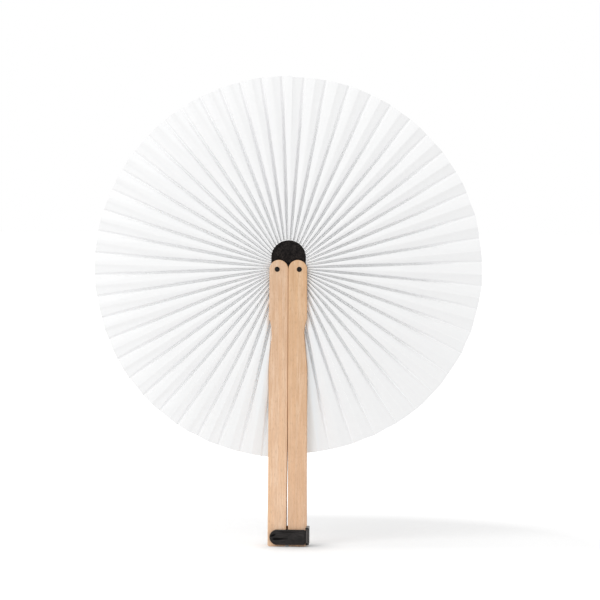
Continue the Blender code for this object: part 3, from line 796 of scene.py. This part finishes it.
def near_handle(out, height):
    """Whether a point is inside the hub or a stick, or closer to them than the leaf's clearance."""
    if math.hypot(out, height - DOME_HEIGHT) < HUB_RADIUS + LEAF_CLEARANCE:
        return True
    if out < HUB_RADIUS + LEAF_CLEARANCE and PIN_HEIGHT - HUB_SKIRT < height < DOME_HEIGHT:
        return True
    if math.hypot(out - TOP_CENTRE, height - PIN_HEIGHT) < TOP_RADIUS + LEAF_CLEARANCE:
        return True
    return height < PIN_HEIGHT and out < outer_edge(height) + LEAF_CLEARANCE


@cache
def fold_start(side, turn):
    """Reach at which a fold line first comes out from behind the hub or a stick."""
    end = fold_end(side, turn)

    def clear(step):
        return not near_handle(*fold_point(turn, end * step / SEARCH_STEPS))

    first = next((step for step in range(SEARCH_STEPS + 1) if clear(step)), SEARCH_STEPS)
    inside = end * (first - 1) / SEARCH_STEPS
    outside = end * first / SEARCH_STEPS
    for _ in range(SEARCH_HALVINGS):
        middle = (inside + outside) / 2
        if near_handle(*fold_point(turn, middle)):
            inside = middle
        else:
            outside = middle
    return outside


def last_step(half):
    """Step, with its fraction, at which the leaf comes to its end beside the stick."""
    high = 2 * half["pleats"]
    low = high - 2
    for _ in range(SEARCH_HALVINGS):
        middle = (low + high) / 2
        turn = fold_turn(half, middle)
        if not near_handle(*fold_point(turn, fold_end(half["side"], turn) - LEAF_TAIL)):
            low = middle
        else:
            high = middle
    return low


def columns_between(first, last):
    """A section's columns: panel, mark in its cross-section, and how much of the panel there is."""
    columns = []
    for panel in range(math.floor(first), math.ceil(last)):
        marks = [LAST_BEND - mark for mark in COLUMN_MARKS] if panel % 2 else COLUMN_MARKS
        columns += [(panel, mark, min(1, last - panel)) for mark in marks]
    return columns + [(panel, 0 if panel % 2 else LAST_BEND, min(1, last - panel))]


def sheet_start(half, step):
    """Reach of the sheet's inner end at this step."""
    low = math.floor(step * START_STEPS)
    share = step * START_STEPS - low
    near = fold_start(half["side"], fold_turn(half, low / START_STEPS))
    far = fold_start(half["side"], fold_turn(half, (low + 1) / START_STEPS))
    return near * (1 - share) + far * share


@cache
def pleat_section(spread, slope):
    """Cross-section of a panel with this spread, from its front fold to its back fold.

    Gives shares of the way across, the depths there, and shares of the way across at its bends.
    Spread and depths are shares of the panel's width. The panel lies nearly flat at the front, with
    this slope, then turns steeply back, so that the valleys are narrow.
    """
    flat = smooth_shares(FRONT_SHARES, spread) * spread / math.cos(slope)
    curl = flat * smooth_shares(FRONT_CURLS, spread)
    knee = flat * smooth_shares(KNEE_CURLS, spread)
    places = np.linspace(0, 1, SECTION_STEPS)
    marks = (0, curl, flat - knee, flat + knee, 1 - BACK_CURL, 1)
    low = slope
    high = smooth_shares(STEEPEST, spread)
    for _ in range(SEARCH_HALVINGS):
        steep = (low + high) / 2
        slopes = np.interp(places, marks, (0, slope, slope, steep, steep, 0))
        if np.cos(slopes).mean() > spread:
            low = steep
        else:
            high = steep
    middles = (slopes[1:] + slopes[:-1]) / 2
    across = np.concatenate(([0], np.cumsum(np.cos(middles))))
    depths = np.concatenate(([0], np.cumsum(np.sin(middles)))) * spread / across[-1]
    across /= across[-1]
    return across, depths, np.interp(marks, places, across)


def panel_section(half, panel, spread):
    """Cross-section of a panel of this half, with this spread."""
    degrees = smooth_shares(FRONT_SLOPES, fold_turn(half, panel) / math.pi)
    slope = math.radians(round(SLOPE_STEPS * degrees) / SLOPE_STEPS)
    return pleat_section(round(min(spread, WIDEST_SPREAD), SPREAD_DIGITS), slope)


def strays(end):
    """A small stray turn and reach for each fold up to this step, none at the top and beside the stick."""
    turns = {}
    ends = {}
    count = math.ceil(end) + 1
    for step in range(count + 1):
        free = 0 < step < count - STRAIGHT_FOLDS
        turns[step] = random.uniform(-FOLD_WANDER, FOLD_WANDER) if free else 0
        ends[step] = random.uniform(-RIM_WANDER, RIM_WANDER) if free else 0
    return {"turns": turns, "ends": ends}


def between(values, step):
    """Value at a step that may lie between two whole ones."""
    low = math.floor(step)
    share = step - low
    return values.get(low, 0) * (1 - share) + values.get(low + 1, 0) * share


def sheet_point(half, column, share, seam):
    """Point of the sheet where a column crosses this share of its length, and how far front it is.

    The bends of a panel move across it as it spreads, so the spread in its middle gives the column's
    place, and the spread there then gives its depth.
    """
    panel, mark, part = column
    from_front = panel % 2 == 0
    middle = panel + min(part, 0.5)
    nominal = sheet_start(half, middle)
    widening = (fold_turn(half, panel + 1) - fold_turn(half, panel)) / PLEAT_WIDTH
    reach = nominal + (fold_end(half["side"], fold_turn(half, middle)) - nominal) * share**RADIAL_POWER
    bends = panel_section(half, panel, reach * widening)[2]
    place = float(np.interp(mark, range(LAST_BEND + 1), bends))
    place = (place if from_front else 1 - place) * part
    step = panel + place
    turn = fold_turn(half, step)
    start = sheet_start(half, step)
    end = fold_end(half["side"], turn) + between(half["strays"]["ends"], step)
    reach = start + (end - start) * share**RADIAL_POWER
    across, depths, _ = panel_section(half, panel, reach * widening)
    depth = float(np.interp(place if from_front else 1 - place, across, depths))
    turn += between(half["strays"]["turns"], step) * share
    out, height = fold_point(turn, reach)
    if height < PIN_HEIGHT:
        out = max(out, outer_edge(height) + LEAF_CLEARANCE)
    out += seam * math.cos(turn)
    height -= seam * math.sin(turn)
    bow = share * PANEL_BOW * half["bows"][panel]
    uneven = noise.noise(Vector((reach * BOW_GRAIN, panel * BOW_PANEL, half["side"] * BOW_SIDE)))
    bow += uneven * PANEL_BOW / 2
    pinch = 1 - PINCH * max(0, 1 - share / PINCH_SHARE)
    back = PLEAT_WIDTH * (depth - depths[-1] / 2) * pinch + bow * math.sin(math.pi * place)
    return Vector((half["side"] * out, back, height)), 1 - depth / depths[-1]


def make_section(half, number, first, last):
    """A few pleats of the leaf: a sheet with rounded creases, which rides on its section's body."""
    name = f"leaf_{half['word']}_{number:02d}"
    columns = columns_between(first, last)
    bm = bmesh.new()
    front_layer = bm.verts.layers.float.new("front")
    near_layer = bm.verts.layers.float.new("near_hub")
    fold_layer = bm.verts.layers.float.new("fold")
    grid = []
    for column in columns:
        seam = 0 if grid else LEAF_SEAM
        line = []
        for j in range(ROWS + 1):
            point, front = sheet_point(half, column, j / ROWS, seam)
            vert = bm.verts.new(point)
            vert[front_layer] = front
            vert[near_layer] = max(0, 1 - math.hypot(point.x, point.z - PIN_HEIGHT) / HUB_REACH)
            vert[fold_layer] = 1 if column[1] in (0, LAST_BEND) else 0
            line.append(vert)
        if grid:
            for j in range(ROWS):
                bm.faces.new((grid[-1][j], line[j], line[j + 1], grid[-1][j + 1]))
        grid.append(line)
    piece = new_object(name.replace("leaf", "sheet"), bm, LEAF_SHEET)
    piece.data.shade_smooth()
    seat(piece, name + "_section", "leaf", name)
    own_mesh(piece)
    steps = list(range(math.floor(first), math.ceil(last))) + [last]
    lengths = [fold_end(half["side"], fold_turn(half, step)) - sheet_start(half, step) for step in steps]
    strips = zip(steps, steps[1:], lengths, lengths[1:])
    area = sum((b - a) * PLEAT_WIDTH * (p + q) / 2 for a, b, p, q in strips)


def make_leaf(word, side, pleats):
    """One half of the round leaf, in sections from the top down to its stick."""
    half = {"word": word, "side": side, "pleats": pleats, "start": side * FIRST_FOLD}
    end = last_step(half)
    half["strays"] = strays(end)
    half["bows"] = [random.choice((-1, 1)) * random.uniform(LEAST_BOW, 1) for _ in range(2 * pleats + 2)]
    sections = pleats // SECTION_PLEATS
    for n in range(sections):
        first = 2 * SECTION_PLEATS * n
        last = end if n == sections - 1 else first + 2 * SECTION_PLEATS
        make_section(half, n + 1, first, last)


# Clip

def make_bracket():
    """The clip's fixed half: an arm behind both sticks, a side wall, and two ears for the hinge."""
    back = STICK_DEPTH / 2 + CLEARANCE
    outline = [(-CLIP_REACH, back), (-CLIP_REACH, back + CLIP_THICKNESS)]
    corner = (WALL_OUT - CLIP_ARM_CORNER, back + CLIP_THICKNESS - CLIP_ARM_CORNER)
    outline += arc(corner, CLIP_ARM_CORNER, 90, 0, CORNER_STEPS)
    meeting = math.degrees(math.acos((WALL_IN - HINGE_OUT) / HINGE_RADIUS))
    outline += arc((HINGE_OUT, CLIP_MIDDLE), HINGE_RADIUS, 0, meeting - 360, RING_STEPS)
    outline += [(WALL_IN, back)]
    bracket = plate("clip_frame", outline, CLIP_FOOT, EAR_TOP, CLIP_PLASTIC, upright=False)
    rounded(bracket, CLIP_ROUNDING, segments=3)
    left = HINGE_OUT - HINGE_RADIUS - OVERRUN
    right = WALL_OUT + OVERRUN
    near = CLIP_MIDDLE - HINGE_RADIUS - OVERRUN
    room = plate(
        "clip_room",
        [(left, near), (right, near), (right, FRONT), (left, FRONT)],
        CLIP_FOOT + CLIP_EAR,
        CLIP_TOP + CLEARANCE,
        upright=False,
    )
    combine(bracket, room)
    settled(bracket, (room,))
    seat(bracket, "right_handle", "clip", "clip_bracket")


def spindle(name, start, end, width, lean, low, high, look):
    """A plate with a long pointed outline from start to end, widest in the middle if its lean is 1.

    With a lean of less than 1 its widest place is nearer the start.
    """
    length = math.dist(start, end)
    away = ((end[0] - start[0]) / length, (end[1] - start[1]) / length)
    rims = {1: [], -1: []}
    for i in range(1, RECESS_STEPS):
        t = (i / RECESS_STEPS) ** RECESS_POWER
        half = width / 2 * math.sin(math.pi * t**lean)
        for direction, rim in rims.items():
            x = start[0] + away[0] * length * t - direction * away[1] * half
            rim.append((x, start[1] + away[1] * length * t + direction * away[0] * half))
    return plate(name, [start] + rims[-1] + [end] + rims[1][::-1], low, high, look)


def make_tongue():
    """The clip's tongue: a strip with one round end across the front of both sticks."""
    radius = CLIP_HEIGHT / 2
    root = HINGE_OUT - HINGE_RADIUS - CLEARANCE
    outline = arc((-CLIP_REACH + radius, CLIP_CENTRE), radius, 90, 270, ROUND_END_STEPS)
    outline += [(root, CLIP_CENTRE - radius), (root, CLIP_CENTRE + radius)]
    face = CLIP_BACK - CLIP_THICKNESS
    tongue = plate("clip_strip", outline, face, CLIP_BACK, TONGUE_PLASTIC)
    rounded(tongue, CLIP_ROUNDING)
    tools = []
    # Recesses, which take the painted shade of their tools
    for start, end, width, lean in RECESSES:
        tool = spindle("recess", start, end, width, lean, face - OVERRUN, face + RECESS_DEPTH, RECESS_PAINTED_SHADE)
        combine(tongue, tool).material_mode = "TRANSFER"
        tools.append(tool)
    rounded(tongue, RECESS_ROUNDING, segments=2)
    low = CLIP_FOOT + CLIP_EAR + CLEARANCE
    ring = arc((HINGE_OUT, CLIP_MIDDLE), HINGE_RADIUS, 0, 360, RING_STEPS)[:-1]
    knuckle = plate("clip_knuckle", ring, low, CLIP_TOP, upright=False)
    left = root - CLIP_ROUNDING * 2
    near = face + CLIP_ROUNDING
    far = CLIP_BACK - CLIP_ROUNDING
    link = plate(
        "clip_link",
        [(left, near), (HINGE_OUT, near), (HINGE_OUT, far), (left, far)],
        low,
        CLIP_TOP - CLIP_ROUNDING,
        upright=False,
    )
    combine(tongue, link, "UNION")
    combine(tongue, knuckle, "UNION")
    settled(tongue, (link, knuckle, *tools))
    seat(tongue, "tongue", "tongue", "clip_tongue")


def make_wire():
    """The hinge's wire, with a round knob on the upper ear and a rounded end below."""
    low = CLIP_FOOT - HINGE_PIN_PROUD
    high = EAR_TOP + KNOB_HEIGHT
    under = EAR_TOP + KNOB_SEAT
    profile = [(0, high)]
    for i in range(1, KNOB_STEPS + 1):
        angle = math.pi / 2 * i / KNOB_STEPS
        profile.append((KNOB_RADIUS * math.sin(angle), high - KNOB_HEIGHT / 2 * (1 - math.cos(angle))))
    profile += [(KNOB_RADIUS, under), (HINGE_PIN_RADIUS, under)]
    profile += [(HINGE_PIN_RADIUS * out, low + HINGE_PIN_RADIUS * up) for out, up in WIRE_TIP]
    profile.append((0, low))
    wire = turned("clip_wire", profile, (HINGE_OUT, CLIP_MIDDLE, 0), WIRE_STEPS, axis="Z", look=WIRE_METAL)
    settled(wire, sharp=60)
    seat(wire, "right_handle", "wire", "clip_hinge_wire")


# Studio

def make_floor():
    """A white floor that shows as white where nothing shades it and keeps the fan's shadow, lightened by
    painted light round the foot and deepened by a painted shadow under it.
    """
    bm = bmesh.new()
    bmesh.ops.create_grid(bm, x_segments=1, y_segments=1, size=FLOOR_SIZE)
    made, shader = new_material("white_floor", 0.9)
    shader.inputs["Base Color"].default_value = (0.8, 0.8, 0.8, 1)
    shader.inputs["Specular IOR Level"].default_value = 0
    shader.inputs["Emission Color"].default_value = (1, 1, 1, 1)
    place = add(made, "TexCoord").outputs["Object"]
    away = add(made, "VectorMath", {0: place}, operation="LENGTH").outputs["Value"]
    level = remapped(made, away, FLOOR_NEAR, FLOOR_FAR, FLOOR_NEAR_LEVEL, 1)
    # Painted light: more glow in bands round the foot lightens the fan's shadow there
    for axis, shaded, clear, most in FLOOR_PAINTED_LIGHT:
        level = maths(made, "ADD", level, remapped(made, along(made, axis), shaded, clear, 0, most))
    # Painted shadow: less glow in a spot under the foot
    under = maths(made, "MULTIPLY", spot(made, FOOT_PAINTED_SHADOW, FOOT_PAINTED_SHADOW_SIZE), FOOT_PAINTED_SHADOW_LEVEL)
    level = maths(made, "SUBTRACT", level, under)
    glow = maths(made, "MULTIPLY", seen_itself(made), level)
    made.node_tree.links.new(glow, shader.inputs["Emission Strength"])
    floor = new_object("floor", bm, made)


def make_world(strength):
    """A plain white surround that lights the fan softly and shows as white."""
    world = bpy.data.worlds.new("surround")
    bpy.context.scene.world = world
    world.use_nodes = True
    surround = world.node_tree.nodes["Background"]
    surround.inputs["Color"].default_value = (1, 1, 1, 1)
    feed(world, surround, Strength=remapped(world, seen_itself(world), 0, 1, strength, 1))


def add_lamp(name, towards, distance, size, level):
    """A square lamp on this side of the fan, with the level of light that it gives to a white face."""
    data = bpy.data.lights.new(name, "AREA")
    data.shape = "SQUARE"
    data.size = size
    data.energy = level * math.pi**2 * distance**2
    lamp = bpy.data.objects.new(name, data)
    bpy.context.scene.collection.objects.link(lamp)
    away = Vector(towards).normalized()
    lamp.location = VIEW_CENTRE + away * distance
    lamp.rotation_mode = "QUATERNION"
    lamp.rotation_quaternion = (-away).to_track_quat("-Z", "Y")


def make_camera():
    """The photograph's viewing angle: from the front, a little from the right and from above."""
    data = bpy.data.cameras.new("camera")
    data.sensor_width = SENSOR * 1000
    data.lens = SENSOR * 1000 * VIEW_DISTANCE / VIEW_WIDTH
    data.clip_end = 100
    camera = bpy.data.objects.new("camera", data)
    bpy.context.scene.collection.objects.link(camera)
    level = math.cos(VIEW_ELEVATION)
    side = math.sin(VIEW_AZIMUTH) * level
    back = Vector((side, -math.cos(VIEW_AZIMUTH) * level, math.sin(VIEW_ELEVATION)))
    camera.location = VIEW_CENTRE + back * VIEW_DISTANCE
    turn = (-back).to_track_quat("-Z", "Y").to_matrix() @ Matrix.Rotation(VIEW_ROLL, 3, "Z")
    camera.rotation_euler = turn.to_euler()
    bpy.context.scene.camera = camera


make_camera()
make_world(WORLD_LEVEL)
add_lamp("key", KEY_SIDE, KEY_DISTANCE, KEY_SIZE, KEY_LEVEL)
make_floor()

make_stick("handle_stick_left", -1, WOOD_LEFT, "left_handle", "left_wood", "stick_left")
make_stick("handle_stick_right", 1, WOOD_RIGHT, "right_handle", "right_wood", "stick_right")
make_hub()
make_pin("rivet_left", -1, "pin_left")
make_pin("rivet_right", 1, "pin_right")
make_leaf("left", -1, LEFT_PLEATS)
make_leaf("right", 1, RIGHT_PLEATS)
make_bracket()
make_tongue()
make_wire()

bpy.context.scene.view_settings.view_transform = "Standard"
